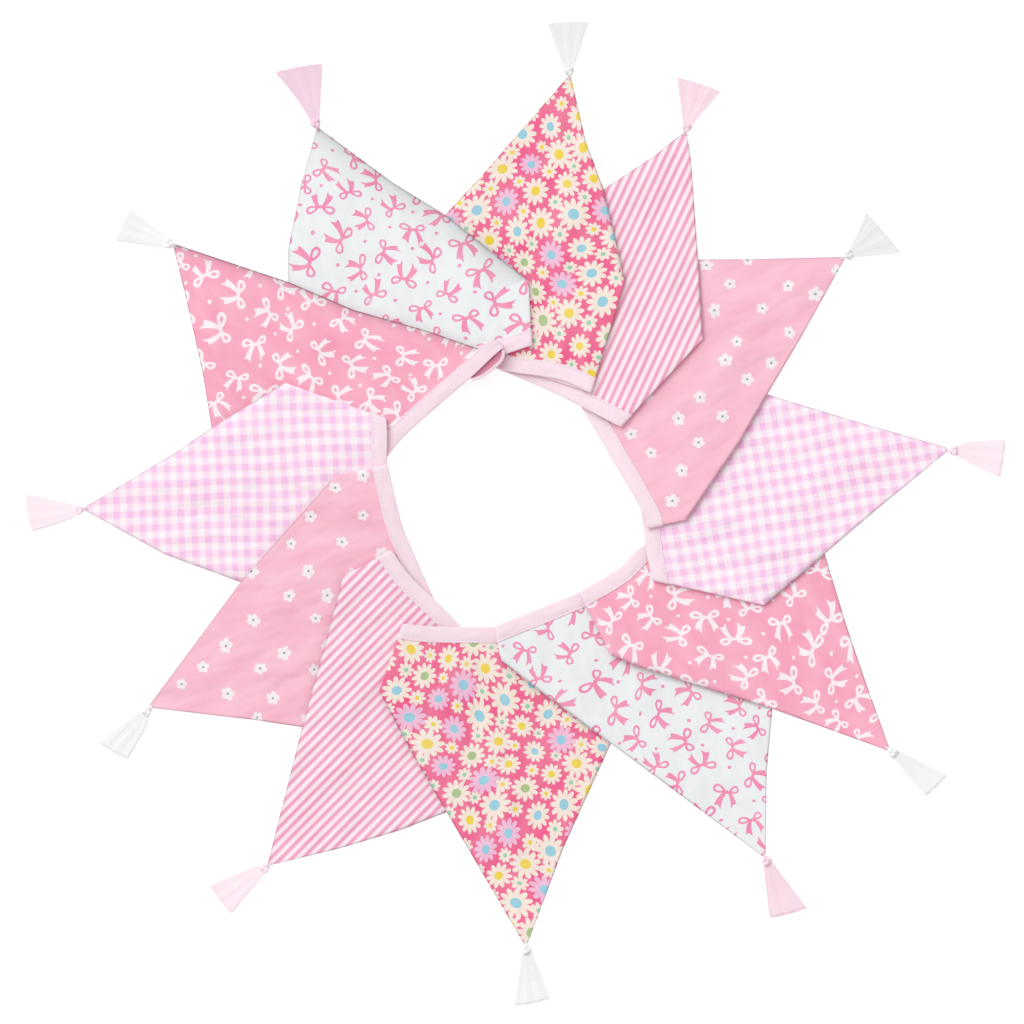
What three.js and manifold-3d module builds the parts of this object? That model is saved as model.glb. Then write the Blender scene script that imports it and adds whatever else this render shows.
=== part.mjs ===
// Fabric bunting, laid out as a ring: twelve printed flags on one folded tape, each with a tassel.
// Millimetres, +Z up. The origin is under the middle of the ring's outline, on the surface it lies on.
// Each flag lies over the next one clockwise, all the way round, so the cloth climbs clockwise like
// the blades of an iris and every tip comes down flat on the surface.
import * as THREE from "three";
import { mergeVertices } from "three/addons/utils/BufferGeometryUtils.js";
import Module from "manifold-3d";

// Driving dimensions, in millimetres.
const MM_PER_PIXEL = 0.6; // from a 10 mm finished tape that is 16 to 17 pixels wide
const CLOTH = 1.0; // thickness of a flag, hem included
const TAPE = 1.6; // thickness of the folded tape
const TAPE_WIDTH = 9.6;
const GAP = 0.3; // between pieces that touch
const SEAM_GAP = 0.55; // between a tape and the cloth whose edge it holds
const FLAG_SIDE = 209; // cut length of a flag's sewn side, tip to corner
const TIP_WIDTH = 2.4; // blunt end of a flag, under the tassel's knot
const TAPE_BEND = 0.95; // bend radius of the tape's middle where a corner folds under
const CLOTH_BEND = 0.68; // the same for the cloth at the shoulder
const LOOPED = 11; // the flag whose open corner carries the loop
const LOOP_HEIGHT = 4.6; // the loop's tape is doubled and stands on edge
const LOOP_THICKNESS = 1.6;
const LOOP_DROP = 3.0; // from mid thickness of flag 11's tape down to the loop's lower edge

// Spacing of each mesh's points, in millimetres, and the steps of its bends and flaps.
const STATION_STEP = 14; // along a flag's heading
const LEAST_STATIONS = 6;
const FOLD_ROW_STEP = 22; // along a fold
const OPEN_ROW_STEP = 24; // along the sewn edge beyond the fold
const BEND_STEPS = 4;
const CLOTH_FLAP_STEPS = 2;
const TAPE_FLAP_STEPS = 3;
const LOOP_STEPS = 14;
const BOW_FADE = 0.45; // share of a flag's length over which its heading's curve straightens

// Tassel sizes, in millimetres.
const KNOT = { halfWidth: 3.4, halfHeight: 2.5, sides: 8, rings: 6 };
const NECK = { length: 11, startWidth: 3.2, endWidth: 7.6, height: 2.8, sides: 8 };
const STRAND = {
  count: 16,
  rootBack: 5, // how far inside the neck's end a strand starts
  rootSpread: 4.2,
  rootWidth: 0.3,
  endGap: 0.45, // between two strands at their ends
  rootHeight: 1.0,
  endHeight: 0.9,
  floorAt: 0.42, // share of its length at which a strand reaches the surface
  ragged: 0.035, // share of the length by which ends differ
  roundness: 0.1, // share of the length by which the outer ends are shorter
  unevenHeight: 0.2,
};

// Pixel coordinates are read from the photograph's 1024 by 1024 frame, x to the right and y down.
const OUTLINE_MIDDLE = [516.7, 513.6];
const HOLE_MIDDLE = [514, 492];

// One row for each flag, clockwise from the top one. All places are pixels.
// foot: azimuth in degrees, clockwise from up, at which this flag's cloth starts on the surface.
// rim: the tape's inner edge, from its hidden start to the fold. shoulder: outer end of the fold.
// sewn: the clockwise edge from tip to shoulder. hidden: where the other edge ends, under its
// neighbour. side: that edge from the tip.
const FLAGS = [
  {
    foot: 334,
    print: "daisy",
    rim: [[499, 368.5], [511, 372], [560, 380], [591.3, 393.2]],
    shoulder: [626, 279],
    sewn: [[586, 142], [603.5, 188]],
    tip: [569, 77.4],
    side: [[484, 173]],
    hidden: [431.4, 229.7],
  },
  {
    foot: 351,
    print: "stripe",
    rim: [[495, 368], [545, 388.7], [579.8, 405.9], [620.6, 427.9]],
    shoulder: [704, 338],
    sewn: [[691, 160], [698, 257]],
    tip: [685, 133],
    side: [[654, 156]],
    hidden: [587, 200],
  },
  {
    foot: 25,
    print: "blossom",
    rim: [[566, 382], [600.8, 440], [641.3, 510.5], [646.9, 529.1]],
    shoulder: [687.5, 520],
    sewn: [[800, 339], [738, 444]],
    tip: [843, 258],
    side: [[760, 259]],
    hidden: [679, 259.7],
  },
  {
    foot: 60,
    print: "gingham",
    rim: [[638.4, 487], [645.4, 542.8], [650.7, 580.3]],
    shoulder: [765, 606],
    sewn: [[876, 510], [827, 552]],
    tip: [947, 449],
    side: [[860, 422.5]],
    hidden: [751.7, 389.6],
  },
  {
    foot: 95,
    print: "pink_bow",
    rim: [[664, 532.4], [640, 547.4], [617.4, 569], [578.5, 592.2]],
    shoulder: [611, 656.3],
    sewn: [[771.7, 708.6], [634, 665.2]],
    tip: [888, 748.5],
    side: [[866, 683], [846, 624]],
    hidden: [819.5, 536.4],
  },
  {
    foot: 125,
    print: "white_bow",
    rim: [[601.7, 583], [560, 600], [494.3, 626]],
    shoulder: [500.5, 661.5],
    sewn: [[668.8, 786.5], [550.8, 699.2]],
    tip: [764.3, 855],
    side: [[766.7, 772]],
    hidden: [774.4, 687.6],
  },
  {
    foot: 155,
    print: "daisy",
    rim: [[522, 627], [436.5, 626.5], [402.8, 622.6]],
    shoulder: [378.3, 692],
    sewn: [[484, 876], [411.6, 752.7]],
    tip: [526, 943.5],
    side: [[564, 846.5]],
    hidden: [616.8, 730.8],
  },
  {
    foot: 187,
    print: "stripe",
    rim: [[475, 642], [444.2, 609], [410.5, 576], [391.4, 549]],
    shoulder: [341.7, 577.3],
    sewn: [[303, 724]],
    tip: [269.6, 864],
    side: [[339, 848.5], [401, 830]],
    hidden: [465, 805],
  },
  {
    foot: 214,
    print: "blossom",
    rim: [[440, 612], [411.4, 548], [400, 518], [387.7, 464]],
    shoulder: [333.3, 475.6],
    sewn: [[240.4, 582.3]],
    tip: [150.8, 706.5],
    side: [[255, 720]],
    hidden: [321, 730],
  },
  {
    foot: 249,
    print: "gingham",
    rim: [[386, 489], [387.4, 435.7], [387.3, 418]],
    shoulder: [284.2, 382],
    sewn: [[175, 453], [214, 426]],
    tip: [85.4, 509],
    side: [[165, 554.5]],
    hidden: [258.8, 588.9],
  },
  {
    foot: 279.5,
    print: "pink_bow",
    rim: [[377, 472], [400.4, 440.3], [440, 404], [468.8, 379.5], [493, 356.6]],
    shoulder: null, // this corner lies open: its tape runs on into the hanging loop
    sewn: [[288.5, 282], [354, 310], [426.6, 330.6]],
    tip: [174.5, 246],
    side: [[191.5, 322], [204, 380]],
    hidden: [214, 443.8],
  },
  {
    foot: 310,
    print: "white_bow",
    rim: [[470, 365], [503.2, 354.9], [532.4, 346]],
    shoulder: [529, 279.6],
    sewn: [[393.5, 183], [444, 214]],
    tip: [317.5, 129.5],
    side: [[302, 181], [288, 250]],
    hidden: [288.5, 298],
  },
];

// The skirt's two end corners, in pixels, left and right as seen from the knot, one row a tassel.
const TASSELS = [
  { colour: "white", left: [548.5, 24], right: [588, 22] },
  { colour: "pink", left: [678, 78], right: [720, 91] },
  { colour: "white", left: [866.5, 213], right: [899.8, 252] },
  { colour: "pink", left: [1005.4, 440], right: [1000, 477] },
  { colour: "white", left: [946.5, 776], right: [926, 796] },
  { colour: "pink", left: [806, 908], right: [770, 918] },
  { colour: "white", left: [549.6, 999], right: [514.7, 1006] },
  { colour: "pink", left: [231, 913], right: [210, 886] },
  { colour: "white", left: [126.7, 759], right: [98.7, 742.6] },
  { colour: "pink", left: [31.6, 530.7], right: [26, 495] },
  { colour: "white", left: [116, 240], right: [130, 210] },
  { colour: "pink", left: [276.4, 72.5], right: [321.6, 63.8] },
];

// Flag 11's tape runs past the cloth's corner by this end, then turns back as the loop.
const TAPE_END = { inner: [504, 347], outer: [495, 339.5] };
const LOOP_ROUTE = [[503.6, 350.4], [502, 359], [495, 366.5], [482.5, 376], [471.5, 380]];

// How high one flag stands over the next, by distance from the hole's middle.
const RISE = [
  { radius: 0, rise: 4.0 },
  { radius: 123, rise: 4.0 },
  { radius: 168, rise: 2.85 },
  { radius: 204, rise: 1.5 },
  { radius: 231, rise: 0 },
  { radius: 320, rise: 0 },
];
const TAPE_ZONE = { inner: 100, outer: 135 }; // the tape's extra half thickness fades out between

const CLOTH_ROUGHNESS = 0.9;
const THREAD_ROUGHNESS = 0.75;

const COLOURS = {
  daisy: 0xf08aa8,
  stripe: 0xf9d3df,
  blossom: 0xf9b4c8,
  gingham: 0xf9d6f0,
  pink_bow: 0xf9a9c0,
  white_bow: 0xf4f4f4,
  tape: 0xfbe4ec,
  white: 0xf6f4f1,
  pink: 0xf9dbe6,
};

const wasm = await Module();
wasm.setup();

function onPlan([x, y]) {
  return new THREE.Vector2(
    (x - OUTLINE_MIDDLE[0]) * MM_PER_PIXEL,
    (OUTLINE_MIDDLE[1] - y) * MM_PER_PIXEL,
  );
}
const middle = onPlan(HOLE_MIDDLE);

function squareTo(vector) {
  return new THREE.Vector2(-vector.y, vector.x);
}

// A smooth curve through (x, y) knots, level at both ends.
function smoothThrough(knots, x) {
  let i = 1;
  while (i < knots.length - 2 && x > knots[i + 1].x) i++;
  if (x < knots[1].x) i = 0;
  const [a, b] = [knots[i], knots[i + 1]];
  const slope = (j) =>
    j <= 0 || j >= knots.length - 1
      ? 0
      : (knots[j + 1].y - knots[j - 1].y) / (knots[j + 1].x - knots[j - 1].x);
  const width = b.x - a.x;
  const t = THREE.MathUtils.clamp((x - a.x) / width, 0, 1);
  const [t2, t3] = [t * t, t * t * t];
  return (
    (2 * t3 - 3 * t2 + 1) * a.y +
    (t3 - 2 * t2 + t) * width * slope(i) +
    (3 * t2 - 2 * t3) * b.y +
    (t3 - t2) * width * slope(i + 1)
  );
}

// The azimuth's place in the ring's order: 3 at flag 3's foot, 4 at flag 4's, and so on to 14.
const feet = FLAGS.map((flag) => flag.foot);
const firstFoot = feet.indexOf(Math.min(...feet));
const SPARE_KNOTS = 2; // beyond the full turn, at either end
const turnKnots = [];
for (let step = -SPARE_KNOTS; step <= FLAGS.length + SPARE_KNOTS; step++) {
  const order = firstFoot + step;
  const turns = Math.floor(step / FLAGS.length);
  turnKnots.push({ x: feet.at(order % FLAGS.length) + 360 * turns, y: order + 1 });
}

// Steps of height at a place for a flag: 0 at its own foot, 1 where the next flag's foot is.
function stepsUp(point, number) {
  let azimuth = THREE.MathUtils.radToDeg(Math.atan2(point.x - middle.x, point.y - middle.y));
  if (azimuth < 0) azimuth += 360;
  const turn = smoothThrough(turnKnots, azimuth);
  const size = FLAGS.length;
  const steps = ((((turn - number + 1) % size) + size) % size) - 1;
  return Math.max(0, steps);
}

const riseKnots = RISE.map(({ radius, rise }) => ({ x: radius, y: rise }));
function height(point, number) {
  const radius = point.distanceTo(middle);
  const tapeShare = 1 - THREE.MathUtils.smoothstep(radius, TAPE_ZONE.inner, TAPE_ZONE.outer);
  const base = CLOTH / 2 + (tapeShare * (TAPE - CLOTH)) / 2;
  return base + Math.max(0, smoothThrough(riseKnots, radius)) * stepsUp(point, number);
}

// A line that folds a flag's corner under. It is set in by the bend, so that the bend's outside
// lies on the drawn line.
class Fold {
  constructor(rimBefore, rimEnd, shoulder, number) {
    this.number = number;
    const drawn = shoulder.clone().sub(rimEnd).normalize();
    const side = Math.sign(squareTo(drawn).dot(rimEnd.clone().sub(rimBefore)));
    const drawnOut = squareTo(drawn).multiplyScalar(side);
    this.start = rimEnd.clone().addScaledVector(drawnOut, -(TAPE_BEND + TAPE / 2));
    this.end = shoulder.clone().addScaledVector(drawnOut, -(CLOTH_BEND + CLOTH / 2));
    this.length = this.end.distanceTo(this.start);
    this.along = this.end.clone().sub(this.start).normalize();
    this.out = squareTo(this.along).multiplyScalar(side);
  }
  bend(point) {
    const reach = point.clone().sub(this.start).dot(this.along);
    const share = THREE.MathUtils.clamp(
      (reach - TAPE_WIDTH) / (this.length - TAPE_WIDTH), 0, 1);
    return THREE.MathUtils.lerp(TAPE_BEND, CLOTH_BEND, share);
  }
  beyond(point) {
    return point.clone().sub(this.start).dot(this.out);
  }
  // A place of the flat cut piece, with its offset from mid thickness, where it lies once folded.
  lay(point, offset) {
    const past = this.beyond(point);
    if (past <= 0) return lift(point, height(point, this.number) + offset);
    const bend = this.bend(point);
    const foot = point.clone().addScaledVector(this.out, -past);
    const angle = past / bend;
    if (angle < Math.PI) {
      const place = foot.addScaledVector(this.out, (bend + offset) * Math.sin(angle));
      const level = height(point.clone().addScaledVector(this.out, -past), this.number);
      return lift(place, level - bend + (bend + offset) * Math.cos(angle));
    }
    const place = foot.addScaledVector(this.out, Math.PI * bend - past);
    return lift(place, height(place, this.number) - 2 * bend - offset);
  }
}

function lift(point, z) {
  return new THREE.Vector3(point.x, point.y, z);
}

// A closed solid from a grid of sheet points, each { over, under } on the two faces. Points that
// coincide are joined, so a row may shrink to one point.
function sheetSolid(rows) {
  const places = [];
  const keys = new Map();
  const number = (cell) => {
    const key = [...cell.over.toArray(), ...cell.under.toArray()].map((v) => v.toFixed(3)).join();
    if (!keys.has(key)) {
      keys.set(key, places.length);
      places.push(cell);
    }
    return keys.get(key);
  };
  const grid = rows.map((row) => row.map(number));
  const faces = [];
  const add = (a, b, c) => {
    if (a !== b && b !== c && c !== a) faces.push([a, b, c]);
  };
  for (let i = 0; i + 1 < grid.length; i++)
    for (let j = 0; j + 1 < grid[i].length; j++) {
      add(grid[i][j], grid[i + 1][j], grid[i + 1][j + 1]);
      add(grid[i][j], grid[i + 1][j + 1], grid[i][j + 1]);
    }
  const shift = places.length;
  const edges = new Set(faces.flatMap(([a, b, c]) => [`${a},${b}`, `${b},${c}`, `${c},${a}`]));
  const index = [];
  for (const [a, b, c] of faces) index.push(a, b, c, a + shift, c + shift, b + shift);
  for (const edge of edges) {
    const [a, b] = edge.split(",").map(Number);
    if (!edges.has(`${b},${a}`)) index.push(b, a, a + shift, b, a + shift, b + shift);
  }
  const points = [...places.map((p) => p.over), ...places.map((p) => p.under)];
  return facingOut(new THREE.BufferGeometry().setFromPoints(points).setIndex(index));
}

// Turns a closed geometry's faces round when they point inwards.
function facingOut(geometry) {
  const at = geometry.getAttribute("position");
  const index = geometry.getIndex().array;
  const [a, b, c] = [new THREE.Vector3(), new THREE.Vector3(), new THREE.Vector3()];
  let volume = 0;
  for (let i = 0; i < index.length; i += 3) {
    a.fromBufferAttribute(at, index[i]);
    b.fromBufferAttribute(at, index[i + 1]);
    c.fromBufferAttribute(at, index[i + 2]);
    volume += a.dot(b.cross(c));
  }
  if (volume < 0)
    for (let i = 0; i < index.length; i += 3)
      [index[i + 1], index[i + 2]] = [index[i + 2], index[i + 1]];
  return geometry;
}

function asManifold(geometry) {
  const bare = geometry.clone();
  bare.deleteAttribute("normal");
  bare.deleteAttribute("uv");
  const merged = mergeVertices(bare, 1e-4);
  return new wasm.Manifold(
    new wasm.Mesh({
      numProp: 3,
      vertProperties: new Float32Array(merged.getAttribute("position").array),
      triVerts: new Uint32Array(merged.getIndex().array),
    }),
  );
}

function fromManifold(solid) {
  const mesh = solid.getMesh();
  return new THREE.BufferGeometry()
    .setAttribute("position", new THREE.BufferAttribute(mesh.vertProperties, 3))
    .setIndex(new THREE.BufferAttribute(mesh.triVerts, 1));
}

// The point at a share of a polyline's length.
function along(line, share) {
  const lengths = line.slice(1).map((p, i) => p.distanceTo(line[i]));
  let left = share * lengths.reduce((sum, length) => sum + length, 0);
  let i = 0;
  while (i < lengths.length - 1 && left > lengths[i]) left -= lengths[i++];
  return line[i].clone().lerp(line[i + 1], left / lengths[i]);
}
function lengthOf(line) {
  return line.slice(1).reduce((sum, p, i) => sum + p.distanceTo(line[i]), 0);
}

// Everything that a flag and its tape share: the rim's stations and the fold.
function layOut(flag, number) {
  const rim = flag.rim.map(onPlan);
  const shoulder = flag.shoulder && onPlan(flag.shoulder);
  const fold = shoulder && new Fold(rim.at(-2), rim.at(-1), shoulder, number);
  if (fold) rim[rim.length - 1] = fold.start;
  const curve = new THREE.SplineCurve(rim);
  const count = Math.max(LEAST_STATIONS, Math.round(curve.getLength() / STATION_STEP));
  const stations = [];
  for (let i = 0; i <= count; i++) {
    const share = i / count;
    const square = squareTo(curve.getTangentAt(share));
    const slanted = fold ? fold.along.clone().divideScalar(fold.along.dot(square)) : square;
    stations.push({ rim: curve.getPointAt(share), aside: square.lerp(slanted, share ** 2) });
  }
  const tip = onPlan(flag.tip);
  const corner =
    fold &&
    fold.end.clone().add(
      fold.end.clone().sub(tip).setLength(FLAG_SIDE - tip.distanceTo(fold.end)),
    );
  return { fold, stations, corner, tip };
}
function seam(stations, width) {
  return stations.map(({ rim, aside }) => rim.clone().addScaledVector(aside, width));
}
function cell(place, fold, thickness, number) {
  const at = (offset) =>
    fold ? fold.lay(place, offset) : lift(place, height(place, number) + offset);
  return { over: at(thickness / 2), under: at(-thickness / 2) };
}

// Shares of a folded row's width that put its points on the bend, then on the flap under it.
function foldedShares(width, bend, flapSteps) {
  const turned = Math.min(1, (Math.PI * bend) / Math.max(width, 1e-6));
  const shares = [];
  for (let i = 1; i <= BEND_STEPS; i++) shares.push((turned * i) / BEND_STEPS);
  for (let i = 1; i <= flapSteps; i++) shares.push(turned + ((1 - turned) * i) / flapSteps);
  return shares;
}

// A flag's cloth as rows from its heading to its tip, each from the hidden edge to the sewn one.
function flagGeometry(flag, number) {
  const { fold, stations, corner, tip } = layOut(flag, number);
  const top = seam(stations, TAPE_WIDTH + SEAM_GAP);
  const halfTip = squareTo(top.at(-1).clone().sub(tip)).setLength(TIP_WIDTH / 2);
  const flank = [
    top[0],
    onPlan(flag.hidden),
    ...flag.side.map(onPlan).reverse(),
    tip.clone().sub(halfTip),
  ];
  const sewn = [
    top.at(-1),
    ...(fold ? [fold.end] : []),
    ...flag.sewn.map(onPlan).reverse(),
    tip.clone().add(halfTip),
  ];
  const foldShare = fold ? top.at(-1).distanceTo(fold.end) / lengthOf(sewn) : 0;
  const shares = [0];
  if (fold) {
    const startShare = top.at(-1).distanceTo(fold.start) / fold.length;
    const cornerWidth = fold.beyond(corner);
    const lastFull = 1 - (Math.PI * CLOTH_BEND) / cornerWidth;
    const steps = Math.max(1, Math.round(((1 - startShare) * fold.length) / FOLD_ROW_STEP));
    const onFold = (s) => (foldShare * (s - startShare)) / (1 - startShare);
    for (let i = 1; i <= steps; i++)
      shares.push(onFold(startShare + ((lastFull - startShare) * i) / steps));
    shares.push(onFold((lastFull + 1) / 2), foldShare);
  }
  const openSteps = Math.round(((1 - foldShare) * lengthOf(sewn)) / OPEN_ROW_STEP);
  for (let i = 1; i <= openSteps; i++)
    shares.push(foldShare + ((1 - foldShare) * i) / openSteps);

  const rows = shares.map((share) => {
    const [from, to] = [along(flank, share), along(sewn, share)];
    const fade = Math.max(0, 1 - share / BOW_FADE);
    const row = top.map((place, i) => {
      const part = i / (top.length - 1);
      const straight = top[0].clone().lerp(top.at(-1), part);
      const bow = place.clone().sub(straight).multiplyScalar(fade);
      return cell(from.clone().lerp(to, part).add(bow), fold, CLOTH, number);
    });
    if (!fold) return row;
    const onFold = Math.min(1, to.distanceTo(fold.start) / fold.length);
    const left = share < foldShare ? 1 - onFold : 0; // share of the fold still to come
    const reach = corner.clone().sub(fold.start).multiplyScalar(left);
    for (const part of foldedShares(reach.dot(fold.out), fold.bend(to), CLOTH_FLAP_STEPS))
      row.push(cell(to.clone().addScaledVector(reach, part), fold, CLOTH, number));
    return row;
  });
  return sheetSolid(rows);
}

// A flag's length of tape: along the heading, round the fold and back under it.
function bindingGeometry(flag, number) {
  const { fold, stations, corner } = layOut(flag, number);
  const seamLine = seam(stations, TAPE_WIDTH);
  const rows = stations.map(({ rim }, i) =>
    [rim, seamLine[i]].map((place) => cell(place, fold, TAPE, number)),
  );
  if (fold) {
    const reach = corner.clone().sub(fold.start);
    const outer = seamLine.at(-1);
    const outerReach = reach
      .clone()
      .multiplyScalar(1 - outer.distanceTo(fold.start) / fold.length);
    const inShares = foldedShares(reach.dot(fold.out), TAPE_BEND, TAPE_FLAP_STEPS);
    const outShares = foldedShares(outerReach.dot(fold.out), TAPE_BEND, TAPE_FLAP_STEPS);
    inShares.forEach((share, i) =>
      rows.push([
        cell(fold.start.clone().addScaledVector(reach, share), fold, TAPE, number),
        cell(outer.clone().addScaledVector(outerReach, outShares[i]), fold, TAPE, number),
      ]),
    );
  } else {
    rows.push(
      [TAPE_END.inner, TAPE_END.outer].map((p) => cell(onPlan(p), null, TAPE, number)),
    );
  }
  return sheetSolid(rows);
}

// The hanging loop: doubled tape on edge, from flag 11's tape end round and back beside it.
function loopGeometry(number) {
  const curve = new THREE.SplineCurve(LOOP_ROUTE.map(onPlan));
  const rows = [];
  for (let i = 0; i <= LOOP_STEPS; i++) {
    const place = curve.getPointAt(i / LOOP_STEPS);
    const aside = squareTo(curve.getTangentAt(i / LOOP_STEPS)).setLength(LOOP_THICKNESS / 2);
    const low = height(place, number) - LOOP_DROP;
    const wall = (sign, z) => lift(place.clone().addScaledVector(aside, sign), z);
    rows.push(
      [low, low + LOOP_HEIGHT].map((z) => ({ over: wall(1, z), under: wall(-1, z) })),
    );
  }
  return sheetSolid(rows);
}

// A closed ring of sections, each a list of points, with both ends closed.
function loft(sections) {
  const sides = sections[0].length;
  const index = [];
  const at = (i, j) => i * sides + (j % sides);
  for (let i = 0; i + 1 < sections.length; i++)
    for (let j = 0; j < sides; j++) {
      index.push(at(i, j), at(i + 1, j), at(i + 1, j + 1));
      index.push(at(i, j), at(i + 1, j + 1), at(i, j + 1));
    }
  for (let j = 1; j + 1 < sides; j++) {
    index.push(at(0, 0), at(0, j), at(0, j + 1));
    index.push(at(sections.length - 1, 0), at(sections.length - 1, j + 1), at(sections.length - 1, j));
  }
  return facingOut(new THREE.BufferGeometry().setFromPoints(sections.flat()).setIndex(index));
}

// A tassel lying flat: a knot, a neck and a fan of strands whose roots are fused in the neck.
// It is modelled along +Y from the knot's middle, with its left to the left.
function tasselGeometry(length, halfAngle, number) {
  const knot = new THREE.SphereGeometry(1, KNOT.sides, KNOT.rings);
  knot.rotateX(Math.PI / 2);
  knot.scale(KNOT.halfWidth, KNOT.halfWidth, KNOT.halfHeight);
  knot.translate(0, 0, KNOT.halfHeight);

  const neckSection = (y, width) => {
    const ring = [];
    for (let i = 0; i < NECK.sides; i++) {
      const angle = ((i + 0.5) / NECK.sides) * 2 * Math.PI;
      const grown = 1 / Math.cos(Math.PI / NECK.sides);
      ring.push(
        new THREE.Vector3(
          (width / 2) * grown * Math.cos(angle),
          y,
          (NECK.height / 2) * (1 + grown * Math.sin(angle)),
        ),
      );
    }
    return ring;
  };
  const neck = loft([
    neckSection(KNOT.halfWidth * 0.5, NECK.startWidth),
    neckSection(NECK.length, NECK.endWidth),
  ]);

  let solid = asManifold(knot).add(asManifold(neck));
  const root = NECK.length - STRAND.rootBack;
  const endPitch = (2 * length * Math.tan(halfAngle)) / STRAND.count;
  for (let i = 0; i < STRAND.count; i++) {
    const place = (i + 0.5) / STRAND.count - 0.5;
    const uneven = Math.sin(7.3 * i + 2.1 * number); // differs from strand to strand and tassel to tassel
    const end = length * (1 - STRAND.roundness * place * place + STRAND.ragged * uneven);
    const endX = place * STRAND.count * endPitch;
    const strandSection = (share) => {
      const x = THREE.MathUtils.lerp(place * STRAND.rootSpread, endX, share);
      const y = THREE.MathUtils.lerp(root, end, share);
      const half = THREE.MathUtils.lerp(STRAND.rootWidth, endPitch - STRAND.endGap, share) / 2;
      const rest = Math.min(1, share / STRAND.floorAt);
      const low = THREE.MathUtils.lerp((NECK.height - STRAND.rootHeight) / 2, 0, rest);
      const endHeight = STRAND.endHeight * (1 + STRAND.unevenHeight * uneven);
      const tall = THREE.MathUtils.lerp(STRAND.rootHeight, endHeight, rest);
      return [
        new THREE.Vector3(x - half, y, low),
        new THREE.Vector3(x + half, y, low),
        new THREE.Vector3(x + half, y, low + tall),
        new THREE.Vector3(x - half, y, low + tall),
      ];
    };
    solid = solid.add(
      asManifold(loft([strandSection(0), strandSection(STRAND.floorAt), strandSection(1)])),
    );
  }
  return fromManifold(solid);
}

function cloth(name, geometry, colour, roughness) {
  const mesh = new THREE.Mesh(
    geometry,
    new THREE.MeshStandardMaterial({ color: COLOURS[colour], roughness, metalness: 0 }),
  );
  mesh.name = name;
  return mesh;
}

const bunting = new THREE.Group();
FLAGS.forEach((flag, i) => {
  const number = i + 1;
  const label = String(number).padStart(2, "0");
  bunting.add(cloth(`flag_${label}`, flagGeometry(flag, number), flag.print, CLOTH_ROUGHNESS));
  bunting.add(cloth(`binding_${label}`, bindingGeometry(flag, number), "tape", CLOTH_ROUGHNESS));

  const { left, right, colour } = TASSELS[i];
  const [tip, leftEnd, rightEnd] = [flag.tip, left, right].map(onPlan);
  const way = leftEnd.clone().add(rightEnd).divideScalar(2).sub(tip);
  const start = KNOT.halfWidth + GAP;
  const length = way.length() - start;
  const halfAngle = Math.atan(leftEnd.distanceTo(rightEnd) / 2 / length);
  const fan = tasselGeometry(length, halfAngle, number);
  const tassel = cloth(`tassel_${label}`, fan, colour, THREAD_ROUGHNESS);
  const knotAt = tip.clone().add(way.clone().setLength(start));
  tassel.position.set(knotAt.x, knotAt.y, 0);
  tassel.rotation.z = Math.atan2(way.y, way.x) - Math.PI / 2;
  bunting.add(tassel);
});
bunting.add(cloth("tie_loop", loopGeometry(LOOPED), "tape", CLOTH_ROUGHNESS));

export default bunting;
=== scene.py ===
"""Looks for the fabric bunting: printed flags, folded tape, a hanging loop and thread tassels.

Shapes are worked out in millimetres, in the frame of the CAD, and become metres as each mesh is made.
"""
import math

import bmesh
import bpy
import numpy as np
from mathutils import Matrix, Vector


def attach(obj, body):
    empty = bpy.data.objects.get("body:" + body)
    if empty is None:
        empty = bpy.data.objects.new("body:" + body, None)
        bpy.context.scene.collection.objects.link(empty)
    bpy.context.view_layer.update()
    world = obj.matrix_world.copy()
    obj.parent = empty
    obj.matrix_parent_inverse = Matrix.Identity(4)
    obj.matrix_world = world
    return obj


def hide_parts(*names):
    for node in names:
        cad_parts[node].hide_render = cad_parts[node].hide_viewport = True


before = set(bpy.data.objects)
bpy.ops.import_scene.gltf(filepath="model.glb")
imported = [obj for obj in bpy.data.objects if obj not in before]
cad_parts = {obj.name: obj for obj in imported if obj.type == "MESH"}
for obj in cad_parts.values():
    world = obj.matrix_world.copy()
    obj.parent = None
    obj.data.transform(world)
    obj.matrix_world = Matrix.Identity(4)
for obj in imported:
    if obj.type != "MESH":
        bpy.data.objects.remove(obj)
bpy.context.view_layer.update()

MM = 0.001  # metres in a millimetre

# Driving dimensions, in millimetres. Those of the solids are the same as in the CAD.
MM_PER_PIXEL = 0.6
SOLID_CLOTH = 1.0  # thickness of a flag's solid
TAPE = 1.6  # thickness of the folded tape with the cloth's edge inside it
TAPE_WIDTH = 9.6
FLAG_SIDE = 209  # cut length of a flag's sewn side, from tip to corner
TIP_WIDTH = 2.4
TAPE_BEND = 0.95  # radius of a turned corner's bend beside the tape
CLOTH_BEND = 0.68  # and at the bend's far end
CLOTH = 0.6  # the cloth itself
TAPE_LEAF = 0.46  # one of the tape's two leaves
TAPE_ROUND = {"width": 0.2, "height": 0.12}  # how the leaves' free edges round off
TUCK = 6.0  # how far the cloth's edge reaches into the tape
STITCH = {"inset": 1.3, "pitch": 3.0, "length": 2.1, "width": 0.4, "height": 0.11, "edge_height": 0.03}
GROOVE = {"half_width": 0.5, "depth": 0.09}  # that the stitches pull into the tape
LOOP = {"drop": 3.0, "flat_width": 10.0, "turned_in": 4, "steps": 30}
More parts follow.
